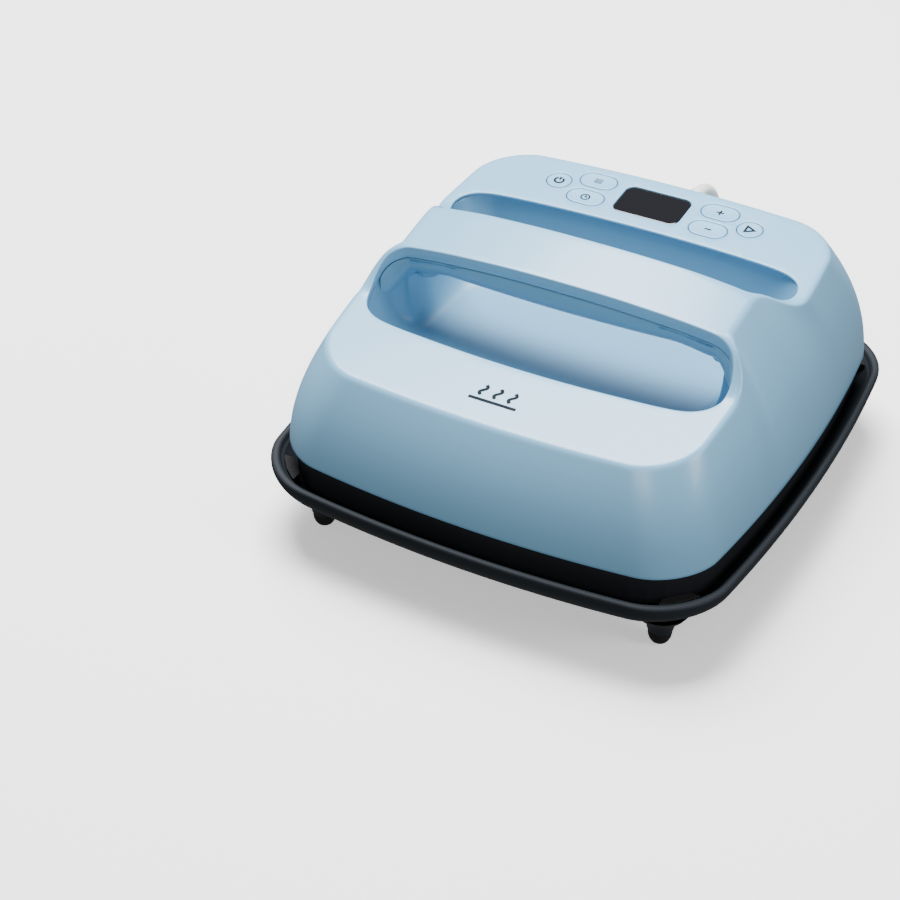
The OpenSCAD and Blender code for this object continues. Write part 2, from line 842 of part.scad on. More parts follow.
module relay() {
  color("#2358a0")
    translate([-14, 92, board_z + 1.7]) cube([19, 15, 15]);
}

module capacitors() {
  color("#1c2430")
    translate([0, 0, board_z + 1.7]) {
      translate([16, 105, 0]) cylinder(r = 8, h = 20, $fn = round_fn);
      translate([14, 91, 0]) cylinder(r = 5, h = 13, $fn = round_fn);
      translate([-26, 93, 0]) cylinder(r = 4, h = 11, $fn = round_fn);
    }
}

module terminal_block() {
  color("#3d8f57")
    translate([50, 102, board_z + 1.7])
      difference() {
        cube([16, 10, 12]);
        for (i = [0:2]) translate([2.8 + 5.2 * i, 5, 7]) cylinder(r = 1.7, h = 8, $fn = 24);
      }
}

module power_heatsink() {
  color("#a8abb0")
    translate([20, 86, board_z + 1.7]) {
      cube([26, 2.4, 22]);
      for (i = [0:4]) translate([i * 5.9, 0, 0]) cube([2.4, 9, 22]);
    }
}

module mains_fuse() {
  color("#dfe3e6")
    translate([50, 92, board_z + 1.7]) {
      translate([-1, -3.5, 0]) cube([3, 7, 8]);
      translate([17, -3.5, 0]) cube([3, 7, 8]);
      translate([0, 0, 5]) rotate([0, 90, 0]) cylinder(r = 2.5, h = 19, $fn = 24);
    }
}

module buzzer() {
  color("#141517")
    on_panel()
      translate([0, 4, switch_z - 1.75]) mirror([0, 0, 1])
        difference() {
          cylinder(r = 6, h = 7, $fn = round_fn);
          translate([0, 0, 5]) cylinder(r = 1.2, h = 3, $fn = 24);
        }
}

// Flat cable from the control board down to the power board
module ribbon_cable() {
  color("#7d8288")
    translate([-72, 0, 0])
      rotate([90, 0, 90])
        linear_extrude(12)
          polygon([
            [88, board_z + 1.7], [89.4, board_z + 1.7], [89.4, 84], [83.4, 96], [83.4, 113.6],
            [82, 113.5], [82, 95.6], [88, 83.6]
          ]);
}

module element_leads() {
  color("#c9543a")
    for (s = [-1, 1])
      tube([
        [s * 8.5, element_half, element_z + 20.3], [s * 8.5, 73, 62], [s * 9, 76, 68],
        [s * 14, 78, 72], [s * 24, 78.4, 75], [s * 33, 78.6, 75], [s * 40, 79.4, 71.5],
        [s * 42, 82.5, 69], [s * 42, 83, board_z + 2.2]
      ], 1.5);
}

module mains_leads() {
  for (i = [0:2])
    color(["#e8e8e8", "#26282b", "#4a8f3c"][i])
      tube([
        [7 + 3 * i, 98.1, exit_z], [7 + 3 * i, 97.2, exit_z - 0.2], [7.2 + 3.1 * i, 96.4, 111.6],
        [8 + 3.2 * i, 96.6, 107 + i], [13 + 3 * i, 97.6, 99 + 2.4 * i], [24 + 2 * i, 100, 94 + 3 * i],
        [36 + 2 * i, 103, 91.5 + 3.2 * i], [47 + 4 * i, 106, 90 + 3.2 * i],
        [52.8 + 5.2 * i, 107, 86 + 2 * i], [52.8 + 5.2 * i, 107, 75]
      ], 1.3);
}

// ---------- power cord ----------

// Point of the boot's bend at an angle from level
function boot_point(angle) =
  [cord_x, boot_y + boot_bend * sin(angle), exit_z - boot_bend * (1 - cos(angle))];

// Flange, neck and collar that grip the wall, and a tapered boot that bends down
module strain_relief() {
  color("#e4e4e2") {
    translate([cord_x, 98.2, exit_z])
      rotate([-90, 0, 0]) {
        cylinder(r = 6.6, h = 2, $fn = round_fn);
        cylinder(r = 5.5, h = 18, $fn = round_fn);
        translate([0, 0, 17]) cylinder(r = 6.4, h = 1.6, $fn = round_fn);
      }
    tapered_tube([for (t = [-4:4:boot_angle]) boot_point(t)], 5.6, 4.2, 16);
  }
}

module power_cord() {
  color("#e9e9e7") tube(cord_route, cord_d / 2, 8);
}

// The stretch that runs into the coil and the one that leaves it for the plug
module cord_ends() {
  color("#e9e9e7") {
    tube(landing_route, cord_d / 2, 8);
    tube(tail_route, cord_d / 2, 8);
  }
}

module cord_coil() {
  color("#e9e9e7")
    translate([coil_centre.x, coil_centre.y, 0])
      rotate_extrude($fn = 64)
        translate([coil_inside, 0]) square([coil_outside - coil_inside, 2 * cord_d]);
}

module on_plug() {
  translate(plug_place) rotate([0, 0, plug_turn]) children();
}

module plug_body() {
  color("#e4e4e2")
    on_plug()
      rotate([0, 90, 0]) {
        difference() {
          union() {
            cylinder(r1 = 4.2, r2 = 5.6, h = 14, $fn = 24);
            translate([0, 0, 13.5]) linear_extrude(24) rounded_square(24, 28, 7);
          }
          translate([0, 0, -1]) cylinder(r = cord_bore, h = 9, $fn = 24);
        }
      }
}

module plug_pins() {
  color("#c8b06a")
    on_plug() {
      for (s = [-1, 1]) translate([37.6, s * 6.35 - 0.75, 0]) cube([18, 1.5, 6.3]);
      translate([37.6, 0, -6]) rotate([0, 90, 0]) cylinder(r = 2.4, h = 19, $fn = 24);
    }
}

base_tray();
base_feet();
rest_pads();
corner_guides();
top_shell();
handle_cover();
cavity_liner();
skirt_frame();
heat_plate();
heating_element();
element_terminals();
plate_seal();
insulation_blanket();
heat_shield();
shield_posts();
shield_screws();
plate_screws();
shell_screws();
handle_screws();
thermistor();
thermal_fuse();
display_lens();
display_module();
control_board();
tact_switches();
board_screws();
button_power();
button_heat();
button_timer();
button_plus();
button_minus();
button_start();
power_board();
board_posts();
transformer();
relay();
capacitors();
terminal_block();
power_heatsink();
mains_fuse();
buzzer();
ribbon_cable();
element_leads();
mains_leads();
strain_relief();
power_cord();
cord_ends();
cord_coil();
plug_body();
plug_pins();
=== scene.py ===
"""Looks of a hand-held heat press in its open safety base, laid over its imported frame."""

import math

import bmesh
import bpy
import numpy as np
from mathutils import Matrix, Vector
from mathutils.geometry import delaunay_2d_cdt


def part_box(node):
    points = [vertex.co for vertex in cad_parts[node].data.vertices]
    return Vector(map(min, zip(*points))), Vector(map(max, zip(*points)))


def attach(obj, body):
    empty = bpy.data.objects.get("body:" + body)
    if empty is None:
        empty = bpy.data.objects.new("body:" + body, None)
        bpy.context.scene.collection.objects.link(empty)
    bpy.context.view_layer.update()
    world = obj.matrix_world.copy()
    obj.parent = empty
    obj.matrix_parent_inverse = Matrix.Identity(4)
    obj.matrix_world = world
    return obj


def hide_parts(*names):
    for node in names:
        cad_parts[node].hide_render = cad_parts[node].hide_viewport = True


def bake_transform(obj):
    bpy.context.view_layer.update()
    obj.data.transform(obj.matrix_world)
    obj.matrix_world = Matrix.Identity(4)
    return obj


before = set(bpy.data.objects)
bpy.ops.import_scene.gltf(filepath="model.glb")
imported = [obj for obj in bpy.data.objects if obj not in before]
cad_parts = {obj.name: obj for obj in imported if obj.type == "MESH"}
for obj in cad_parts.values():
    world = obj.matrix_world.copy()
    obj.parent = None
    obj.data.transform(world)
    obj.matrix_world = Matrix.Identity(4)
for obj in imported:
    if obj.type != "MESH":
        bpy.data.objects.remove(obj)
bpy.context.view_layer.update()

MM = 0.001


def low(node):
    """Lowest corner of a CAD node, in millimetres."""
    return np.array(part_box(node)[0]) / MM


def high(node):
    """Highest corner of a CAD node, in millimetres."""
    return np.array(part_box(node)[1]) / MM


# ---------- driving sizes, in millimetres ----------

shell_low, shell_high = low("top_shell"), high("top_shell")
casing_w, casing_d = (shell_high - shell_low)[:2]
casing_z = shell_low[2]
tray_low, tray_high = low("base_tray"), high("base_tray")
base_w, base_d = (tray_high - tray_low)[:2]
rim_z = tray_high[2]
lens_w = (high("display_lens") - low("display_lens"))[0]
lens_d = 24.6
button_r = 6.8
pill_l, pill_d = 21.0, 13.0

crest_y = -9.7
crest_w, crest_d = 214.0, 217.0
lip_depth = 6.3
slot_lip_depth = 1.5
shoulder_round = 2.2
lip_round = 0.8
panel_y, panel_z, panel_tilt = 76.0, 126.6, 0.1
slope_y, slope_z, slope_tilt = -70.0, 110.0, 0.17
arch_y, arch_top, arch_tilt, arch_drop, arch_half = -20.0, 146.0, 0.2, 8.5, 91.0
liner_y = -11.3
cavity_floor = 84.0
grip_z = 119.0
boss_x, boss_y = 85.0, -19.0
cord_d = 6.5
foot_places = [(sx * 97.0, sy * 110.5) for sx in (-1, 1) for sy in (-1, 1)]


# ---------- camera ----------

camera_data = bpy.data.cameras.new("camera")
camera_data.lens = 81.96
camera_data.sensor_width = 36
camera = bpy.data.objects.new("camera", camera_data)
bpy.context.collection.objects.link(camera)
camera.location = (0.3778, -0.8273, 0.670)
camera.rotation_euler = (math.radians(54), 0, math.radians(29.1))
bpy.context.scene.camera = camera


# ---------- shapes of the casing ----------


def smooth(u):
    c = np.clip(u, 0, 1)
    return c * c * (3 - 2 * c)


def ramp(v, start, end):
    return smooth((v - start) / (end - start))


def mix(p, q, t):
    return p + (q - p) * t


def rise(x, y):
    """Share of the handle's height that the surface has reached."""
    out = ramp(np.abs(x), 78, 92)
    far = 4 * ramp(np.abs(x), 96, 106)
    front = ramp(y, -56 - 4 * out + far, -43 + 8 * out + far)
    return front * (1 - ramp(y, -7 - 3 * out, 32))


def base_height(y):
    slope = slope_z + slope_tilt * (y - slope_y)
    panel = panel_z + panel_tilt * (y - panel_y)
    return np.where(y < arch_y, slope, panel)


def arch_height(x, y):
    return arch_top + arch_tilt * (y - arch_y) - arch_drop * (x / arch_half) ** 2


def top_height(x, y):
    return mix(base_height(y), arch_height(x, y), rise(x, y))


def rounded(a, b, r, xs, ys, steps):
    """Rounded rectangle, anticlockwise from the front end of its right side."""
    u, v = a - r, b - r

    def corner(cx, cy, start):
        turn = np.radians(start + 90 * np.arange(steps) / steps)
        return np.stack([cx + r * np.cos(turn), cy + r * np.sin(turn)], 1)

    def line(px, py):
        return np.stack(np.broadcast_arrays(px, py), 1).astype(float)

    return np.concatenate([
        line(a, v * ys[:-1]), corner(u, v, 0),
        line(u * xs[:0:-1], b), corner(-u, v, 90),
        line(-a, v * ys[:0:-1]), corner(-u, -v, 180),
        line(u * xs[:-1], -b), corner(u, -v, 270),
    ])


EVEN = np.linspace(-1, 1, 41)
SIDES = np.concatenate([
    np.linspace(-1, -0.46, 14), np.linspace(-0.44, -0.26, 26),
    np.linspace(-0.24, 0.04, 15), np.linspace(0.07, 1, 32),
])


def bowed(a, b, r, bow, xs=EVEN, ys=SIDES, steps=14):
    """The same with bowed sides that reach a and b at their middles."""
    a0, b0 = a - bow, b - bow
    p = rounded(a0, b0, r, xs, ys, steps)
    x = p[:, 0] * (1 + bow / a0 * (1 - np.minimum(np.abs(p[:, 1]) / b0, 1) ** 2))
    y = p[:, 1] * (1 + bow / b0 * (1 - np.minimum(np.abs(p[:, 0]) / a0, 1) ** 2))
    return np.stack([x, y], 1)


def crest_line():
    """Plan of the shoulder: it is pulled in where the handle's ends rise from it."""
    p = bowed(crest_w / 2, crest_d / 2, 26, 6) + [0, crest_y]
    x, y = p[:, 0], p[:, 1]
    front = 2.5 * ramp(y, -60, -44) + 13 * ramp(y, -48, -32)
    depth = np.where(y < -20, front, 15.5 * (1 - ramp(y, -9, 36)))
    return np.stack([x - np.sign(x) * depth * ramp(np.abs(x), 60, 80), y], 1)


def outward(p):
    """Outward normals of an anticlockwise loop."""
    d = np.roll(p, -1, 0) - np.roll(p, 1, 0)
    n = np.stack([d[:, 1], -d[:, 0]], 1)
    return n / np.linalg.norm(n, axis=1, keepdims=True)


def catmull_rom(a, b, c, d, t):
    """Point between b and c of the curve through four points."""
    return 0.5 * (2 * b + (c - a) * t + (2 * a - 5 * b + 4 * c - d) * t ** 2
                  + (3 * b - a - 3 * c + d) * t ** 3)


def spline_loop(points, steps):
    """Closed Catmull-Rom curve through a few points."""
    p = np.array(points, float)
    before, after, later = np.roll(p, 1, 0), np.roll(p, -1, 0), np.roll(p, -2, 0)
    t = np.arange(steps)[None, :, None] / steps
    a, b, c, d = (q[:, None, :] for q in (before, p, after, later))
    return catmull_rom(a, b, c, d, t).reshape(-1, p.shape[1])


def resample(loop, spacing):
    """Evenly spaced points round a closed loop."""
    closed = np.concatenate([loop, loop[:1]])
    length = np.concatenate([[0], np.cumsum(np.linalg.norm(np.diff(closed, axis=0), axis=1))])
    count = int(length[-1] / spacing)
    at = np.arange(count) * length[-1] / count
    return np.stack([np.interp(at, length, closed[:, i]) for i in range(closed.shape[1])], 1)


def mirrored(half):
    """Closed outline from its right half, which runs from the lower middle to the upper middle."""
    left = [(-x, y) for x, y in reversed(half) if abs(x) > 0.01]
    return half + left


FINGER_HALF = [
    (0, -76.7), (30, -76.1), (58, -74.5), (75, -73.1), (86, -71), (93.4, -66.8), (97.8, -60.6),
    (99.5, -53.6), (99, -47.2), (96, -42.2), (91, -39.2), (84, -38.6), (70, -39.3), (40, -41), (0, -42),
]
SLOT_HALF = [
    (0, -8.3), (35, -7.4), (62, -5.6), (78, -4.6), (85.6, -3.4), (89.3, -0.2), (91.6, 7), (93.6, 16),
    (96.2, 24.5), (98.6, 31), (98.9, 37), (96.6, 42.8), (91.4, 47.2), (83, 49.9), (66, 51.8), (36, 53.4),
    (0, 54),
]
finger_loop = resample(spline_loop(mirrored(FINGER_HALF), 12), 2.0)
slot_loop = resample(spline_loop(mirrored(SLOT_HALF), 12), 2.0)


# ---------- mesh helpers ----------


def new_object(name, points, faces, body, material, smooth_faces=True):
    """A mesh from points in millimetres, riding on a body."""
    mesh = bpy.data.meshes.new(name)
    mesh.from_pydata([tuple(float(c) * MM for c in p) for p in points], [], faces)
    mesh.update()
    piece = bpy.data.objects.new(name, mesh)
    bpy.context.collection.objects.link(piece)
    mesh.materials.append(material)
    work = bmesh.new()
    work.from_mesh(mesh)
    bmesh.ops.remove_doubles(work, verts=work.verts, dist=2e-6)
    bmesh.ops.recalc_face_normals(work, faces=work.faces)
    for face in work.faces:
        face.smooth = smooth_faces
    work.to_mesh(mesh)
    work.free()
    if body:
        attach(piece, body)
    return piece


class Build:
    """Collects points and faces for one mesh."""

    def __init__(self):
        self.points = []
        self.faces = []

    def add(self, points):
        start = len(self.points)
        self.points.extend(np.asarray(points, float).tolist())
        return start

    def loft(self, rows, closed=True, cap_first=False, cap_last=False):
        """Quads between rows of equal length."""
        n = len(rows[0])
        start = self.add(np.concatenate(rows))
        wrap = n if closed else n - 1
        for j in range(len(rows) - 1):
            a = start + j * n
            for i in range(wrap):
                k = (i + 1) % n
                self.faces.append((a + i, a + k, a + n + k, a + n + i))
        if cap_first:
            self.faces.append(tuple(start + i for i in range(n))[::-1])
        if cap_last:
            self.faces.append(tuple(start + (len(rows) - 1) * n + i for i in range(n)))

    def done(self, name, body, material, **options):
        return new_object(name, self.points, self.faces, body, material, **options)


def turned(x, y, profile, steps=40):
    """Circles of a shape turned about an upright axis."""
    turn = np.radians(360 * np.arange(steps) / steps)
    return [
        np.stack([x + r * np.cos(turn), y + r * np.sin(turn), np.full_like(turn, z)], 1) for r, z in profile
    ]


def with_z(p, z):
    return np.concatenate([p, np.broadcast_to(np.asarray(z, float), (len(p),))[:, None]], 1)


def bend(a, k, b, steps):
    """Rounded corner from a to b round k, without its first point."""
    for t in np.linspace(0, 1, steps + 1)[1:]:
        yield (1 - t) ** 2 * a + 2 * t * (1 - t) * k + t ** 2 * b


def nearest(p, others):
    return np.min(np.linalg.norm(p[:, None, :] - others[None, :, :], axis=2), axis=1)


def inside(points, loop):
    """Which points lie inside a closed loop."""
    x, y = points[:, 0][:, None], points[:, 1][:, None]
    x1, y1 = loop[:, 0][None], loop[:, 1][None]
    x2, y2 = np.roll(loop[:, 0], -1)[None], np.roll(loop[:, 1], -1)[None]
    crosses = (y1 > y) != (y2 > y)
    rise_y = np.where(y2 == y1, 1e-9, y2 - y1)
    return (np.sum(crosses & (x < x1 + (y - y1) * (x2 - x1) / rise_y), axis=1) % 2) == 1


PANEL_ANGLE = math.atan(panel_tilt)


def on_panel(points):
    """Points in the control panel's own plane, to the object's frame."""
    p = np.asarray(points, float)
    c, s = math.cos(PANEL_ANGLE), math.sin(PANEL_ANGLE)
    return np.stack([
        p[:, 0], panel_y + p[:, 1] * c - p[:, 2] * s, panel_z + p[:, 1] * s + p[:, 2] * c,
    ], 1)


def pill_loop(length, width, steps=16):
    """Outline with round ends; a circle where length and width agree."""
    r = width / 2
    reach = (length - width) / 2
    turn = np.radians(np.linspace(-90, 90, steps + 1))
    right = np.stack([reach + r * np.cos(turn), r * np.sin(turn)], 1)
    loop = np.concatenate([right, -right])
    keep = np.linalg.norm(loop - np.roll(loop, 1, 0), axis=1) > 1e-6
    return loop[keep]


def corner_loop(w, d, r, steps=10):
    """Rounded rectangle with plain sides."""
    share = np.array([-1, -0.33, 0.33, 1])
    return rounded(w / 2, d / 2, r, share, share, steps)


# ---------- materials ----------


def material(
    name, color, roughness, metallic=0.0, grain=0.0, scale=400.0, vary=0.0, coat=0.0, spread=0.0,
    specular=0.5,
):
    """Principled material with a fine moulded grain and a slight unevenness in colour and gloss."""
    made = bpy.data.materials.new(name)
    made.use_nodes = True
    nodes, links = made.node_tree.nodes, made.node_tree.links
    shader = nodes["Principled BSDF"]
    shader.inputs["Metallic"].default_value = metallic
    shader.inputs["Coat Weight"].default_value = coat
    shader.inputs["Coat Roughness"].default_value = 0.12
    shader.inputs["Specular IOR Level"].default_value = specular
    where = nodes.new("ShaderNodeTexCoord")
    cloud = nodes.new("ShaderNodeTexNoise")
    cloud.inputs["Scale"].default_value = 9
    cloud.inputs["Detail"].default_value = 4
    links.new(where.outputs["Object"], cloud.inputs["Vector"])
    tint = nodes.new("ShaderNodeValToRGB")
    tint.color_ramp.elements[0].position = 0.3
    tint.color_ramp.elements[1].position = 0.7
    tint.color_ramp.elements[0].color = (*[c * (1 - vary) for c in color], 1)
    tint.color_ramp.elements[1].color = (*[min(c * (1 + vary), 1) for c in color], 1)
    links.new(cloud.outputs["Fac"], tint.inputs["Fac"])
    links.new(tint.outputs["Color"], shader.inputs["Base Color"])
    gloss = nodes.new("ShaderNodeMapRange")
    gloss.inputs["To Min"].default_value = max(roughness - spread, 0.02)
    gloss.inputs["To Max"].default_value = roughness + spread
    links.new(cloud.outputs["Fac"], gloss.inputs["Value"])
    links.new(gloss.outputs["Result"], shader.inputs["Roughness"])
    fine = nodes.new("ShaderNodeTexNoise")
    fine.inputs["Scale"].default_value = scale
    fine.inputs["Detail"].default_value = 3
    links.new(where.outputs["Object"], fine.inputs["Vector"])
    bump = nodes.new("ShaderNodeBump")
    bump.inputs["Strength"].default_value = grain
    bump.inputs["Distance"].default_value = 0.0002
    links.new(fine.outputs["Fac"], bump.inputs["Height"])
    links.new(bump.outputs["Normal"], shader.inputs["Normal"])
    return made


SHELL = material(
    "shell_blue", (0.195, 0.43, 0.635), 0.32, grain=0.04, scale=900, vary=0.012, coat=0.12, spread=0.03,
)
# Darker copy of the shell blue: painted shade for the handle's underside, which is the same plastic as the
# shell.
GRIP_SHADED_BLUE = material(
    "grip_blue_painted_shade", (0.175, 0.375, 0.54), 0.36, grain=0.05, scale=900, vary=0.015, coat=0.1, spread=0.03,
)
# Darker copy of the shell blue: painted shade inside the finger cavity under the handle, which is the same
# plastic as the shell.
LINER_SHADED_BLUE = material(
    "liner_blue_painted_shade", (0.125, 0.305, 0.475), 0.36, grain=0.05, scale=900, vary=0.015, coat=0.1, spread=0.03,
)
KEY = material("key_blue", (0.195, 0.43, 0.635), 0.34, grain=0.05, scale=900, vary=0.01, spread=0.02)
BLACK = material(
    "tray_black", (0.011, 0.015, 0.02), 0.6, grain=0.25, scale=1400, vary=0.15, spread=0.06, specular=0.2,
)
SKIRT = material("skirt_black", (0.007, 0.008, 0.011), 0.5, grain=0.3, scale=1400, vary=0.15, spread=0.06)
RUBBER = material(
    "foot_rubber", (0.012, 0.012, 0.013), 0.75, grain=0.4, scale=1100, vary=0.2, spread=0.08, specular=0.15,
)
SILICONE = material("pad_silicone", (0.02, 0.02, 0.022), 0.55, grain=0.25, scale=700, vary=0.2, spread=0.06)
COATING = material(
    "plate_coating", (0.055, 0.056, 0.06), 0.42, grain=0.5, scale=1600, vary=0.2, spread=0.08, metallic=0.3,
)
GLASS = material("display_black", (0.0035, 0.004, 0.006), 0.06, grain=0.0, coat=0.3, spread=0.01)
INK = material("printed_ink", (0.01, 0.015, 0.021), 0.8, grain=0.1, vary=0.1, spread=0.03, specular=0.1)
STEEL = material("zinc_steel", (0.55, 0.56, 0.58), 0.3, metallic=1.0, grain=0.2, vary=0.08, spread=0.08)
DARK_STEEL = material(
    "element_steel", (0.22, 0.19, 0.17), 0.45, metallic=1.0, grain=0.3, vary=0.3, spread=0.1,
)
BRASS = material("brass", (0.72, 0.52, 0.22), 0.28, metallic=1.0, grain=0.15, vary=0.08, spread=0.06)
ALUMINIUM = material(
    "extruded_aluminium", (0.6, 0.61, 0.63), 0.35, metallic=1.0, grain=0.2, vary=0.05, spread=0.06,
)
CERAMIC = material("ceramic", (0.72, 0.68, 0.6), 0.55, grain=0.4, vary=0.06, spread=0.06)
WOOL = material("insulation_wool", (0.74, 0.7, 0.6), 0.9, grain=1.0, scale=260, vary=0.12, spread=0.05)
BOARD = material("solder_mask", (0.02, 0.12, 0.06), 0.35, grain=0.15, vary=0.12, spread=0.06)
PART_BLACK = material("component_black", (0.02, 0.022, 0.026), 0.45, grain=0.3, vary=0.15, spread=0.06)
WIRE = material("wire_insulation", (0.35, 0.07, 0.04), 0.4, grain=0.1, vary=0.1, spread=0.05)
RIBBON = material("ribbon_grey", (0.2, 0.21, 0.22), 0.5, grain=0.2, vary=0.1, spread=0.05)
CORD = material("cord_white", (0.72, 0.72, 0.70), 0.42, grain=0.12, scale=1000, vary=0.03, spread=0.05)

NODE_MATERIALS = {
    "base_feet": RUBBER, "rest_pads": SILICONE, "corner_guides": RUBBER, "skirt_frame": SKIRT,
    "heat_plate": COATING, "heating_element": DARK_STEEL, "element_terminals": CERAMIC,
    "plate_seal": SILICONE, "insulation_blanket": WOOL, "heat_shield": STEEL, "shield_posts": BRASS,
    "shield_screws": STEEL, "plate_screws": STEEL, "shell_screws": STEEL, "handle_screws": STEEL,
    "thermistor": PART_BLACK, "thermal_fuse": CERAMIC, "display_module": PART_BLACK,
    "control_board": BOARD, "tact_switches": PART_BLACK, "board_screws": STEEL, "power_board": BOARD,
    "board_posts": BRASS, "transformer": PART_BLACK, "relay": PART_BLACK, "capacitors": PART_BLACK,
    "terminal_block": PART_BLACK, "power_heatsink": ALUMINIUM, "mains_fuse": CERAMIC,
    "buzzer": PART_BLACK, "ribbon_cable": RIBBON, "element_leads": WIRE, "mains_leads": WIRE,
    "plug_pins": BRASS,
}
for node_name, node_material in NODE_MATERIALS.items():
    node_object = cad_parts[node_name]
    node_object.data.materials.clear()
    node_object.data.materials.append(node_material)


# ---------- power cord ----------

cord_x, exit_z = 10.0, 114.0
boot_y, boot_bend, boot_angle, boot_rise = 117.0, 27.0, 60, 2.2
coil_centre = np.array([-35.5, 212.0])
turned_in, climbed, turned_out = 1260, 1395, 2655    # degrees turned since the cord met the coil
PRESS_ROUTE = [
    (10, 140.5, 100.3), (10, 144.4, 93.6), (10, 149, 85.4), (10, 153.4, 76.8), (10, 157.4, 68),
    (10, 160.9, 59), (10, 164, 50),
]
LANDING_ROUTE = [
    (10, 168, 38.6), (10, 173, 28), (10, 179.6, 18.6), (10, 187.8, 11),
    (10, 197, 6), (10, 205, 3.8), (10, 212, 3.3),
]
TAIL_ROUTE = [
    (-71, 241, 9.9), (-75, 236.8, 10.3), (-80, 231.5, 11), (-85, 226, 11.6), (-90, 221.4, 12),
    (-94, 216.9, 12),
]


def coil_turns():
    """A spiral in on the table, a climb at its middle and a spiral out on top of it."""
    outer, pitch = 7 * cord_d, cord_d / 360
    points = []
    for angle in range(8, turned_out, 10):
        radius = outer - pitch * min(angle, turned_in) + pitch * max(angle - climbed, 0)
        height = mix(0.5, 1.5, ramp(angle, turned_in - 45, climbed)) * cord_d + 0.05
        turn = math.radians(angle)
        x, y = coil_centre + radius * np.array([math.cos(turn), math.sin(turn)])
        points.append((x, y, height))
    return points


def densify(points, spacing):
    """The same route with points at an even spacing along a Catmull-Rom curve."""
    p = np.array(points, float)
    ends = np.concatenate([[2 * p[0] - p[1]], p, [2 * p[-1] - p[-2]]])
    fine = []
    for i in range(len(p) - 1):
        a, b, c, d = ends[i:i + 4]
        for t in np.linspace(0, 1, 8, endpoint=False):
            fine.append(catmull_rom(a, b, c, d, t))
    fine = np.array(fine + [p[-1]])
    length = np.concatenate([[0], np.cumsum(np.linalg.norm(np.diff(fine, axis=0), axis=1))])
    count = int(length[-1] / spacing)
    at = np.linspace(0, length[-1], count)
    return np.stack([np.interp(at, length, fine[:, i]) for i in range(3)], 1), length[-1]


def sweep(path, radii, sides=16):
    """Rings of a round tube along a path, turned as little as possible."""
    path = np.asarray(path, float)
    tangents = np.gradient(path, axis=0)
    tangents /= np.linalg.norm(tangents, axis=1, keepdims=True)
    side = np.cross(tangents[0], [0.0, 0.0, 1.0] if abs(tangents[0][2]) < 0.9 else [1.0, 0.0, 0.0])
    rows = []
    turn = np.radians(360 * np.arange(sides) / sides)
    for point, tangent, radius in zip(path, tangents, np.broadcast_to(radii, len(path))):
        side = side - tangent * np.dot(side, tangent)
        side /= np.linalg.norm(side)
        other = np.cross(tangent, side)
        rows.append(point + radius * (np.cos(turn)[:, None] * side + np.sin(turn)[:, None] * other))
    return rows


def make_cord():
    route = PRESS_ROUTE + LANDING_ROUTE + coil_turns() + TAIL_ROUTE
    path, length = densify(route, 4.0)
    build = Build()
    build.loft(sweep(path, cord_d / 2, 16), cap_first=True, cap_last=True)
    piece = build.done("power_cord_lead", None, CORD)
    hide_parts("power_cord", "cord_ends", "cord_coil")
    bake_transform(piece)
    return piece, path, length


def boot_point(angle):
    turn = np.radians(angle)
    return np.stack([
        np.full_like(turn, cord_x), boot_y + boot_bend * np.sin(turn),
        exit_z - boot_bend * (1 - np.cos(turn)) + boot_rise * (1 - angle / boot_angle),
    ], 1)


def make_boot():
    """Bend relief: collar against the wall, then a tapered boot with shallow ribs."""
    build = Build()
    neck = [
        (98.2, 4.1), (112, 4.1), (114, 4.1), (114.2, 4.4), (114.6, 4.6), (116.2, 4.6), (116.6, 4.4),
        (116.9, 4),
    ]
    neck_path = np.array([(cord_x, y, exit_z + boot_rise) for y, _ in neck], float)
    build.loft(sweep_level(neck_path, [r for _, r in neck]), cap_first=True)
    angles = np.linspace(0, boot_angle, 73)
    taper = mix(4.1, 3.7, angles / boot_angle)
    ribs = 0.22 * np.cos(angles * 2 * math.pi * 9 / boot_angle) * ramp(angles, 12, 24)
    radii = taper + ribs
    radii[-3:] = taper[-3:] - [0.05, 0.15, 0.4]
    build.loft(sweep(boot_point(angles), radii, 32), cap_first=True, cap_last=True)
    piece = build.done("bend_relief", "press", CORD)
    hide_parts("strain_relief")
    return piece


def sweep_level(path, radii, sides=32):
    """Rings square to Y, for a turned shape along Y."""
    turn = np.radians(360 * np.arange(sides) / sides)
    return [
        point + radius * np.stack([np.cos(turn), 0 * turn, np.sin(turn)], 1)
        for point, radius in zip(path, radii)
    ]


def make_plug():
    """Moulded three-pin plug lying beside the coil."""
    place = np.array([-90, 220.5, 12.0])
    turn = math.radians(222)
    ahead = np.array([math.cos(turn), math.sin(turn), 0])
    across = np.array([-math.sin(turn), math.cos(turn), 0])
    up = np.array([0, 0, 1.0])
    stations = [
        (0, 8.4, 8.4), (2, 8.8, 8.8), (3, 8.2, 8.2), (5, 9.4, 9.4), (6, 8.8, 8.8), (8, 10, 10),
        (9, 9.4, 9.4), (11, 10.8, 10.8), (13, 12.6, 12), (15, 18, 16.5), (17.5, 23.5, 20.5),
        (21, 26.6, 22.8), (26, 27.6, 23.6), (31, 27.4, 23.6), (35, 27.2, 23.4), (36.6, 26.6, 22.8),
        (37.4, 25, 21.4),
    ]
    rows = []
    for along, wide, tall in stations:
        round_r = min(wide, tall) / 2 - 0.01 if along < 12 else 6.2
        loop = corner_loop(wide, tall, min(round_r, tall / 2 - 0.01), 6)
        rows.append(place + ahead * along + loop[:, :1] * across + loop[:, 1:] * up)
    build = Build()
    build.loft(rows, cap_first=True, cap_last=True)
    piece = build.done("plug_moulding", "base", CORD)
    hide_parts("plug_body")
    return piece


cord, cord_path, cord_length = make_cord()
boot = make_boot()
plug = make_plug()


# ---------- top shell ----------

round_keys = [(-56.4, 0.6), (56.4, 0.6)]
long_keys = [(-36.1, 8.6), (-36.1, -8.2), (36.1, 8.6), (36.1, -8.2)]
key_gap, lens_gap = 0.5, 0.35


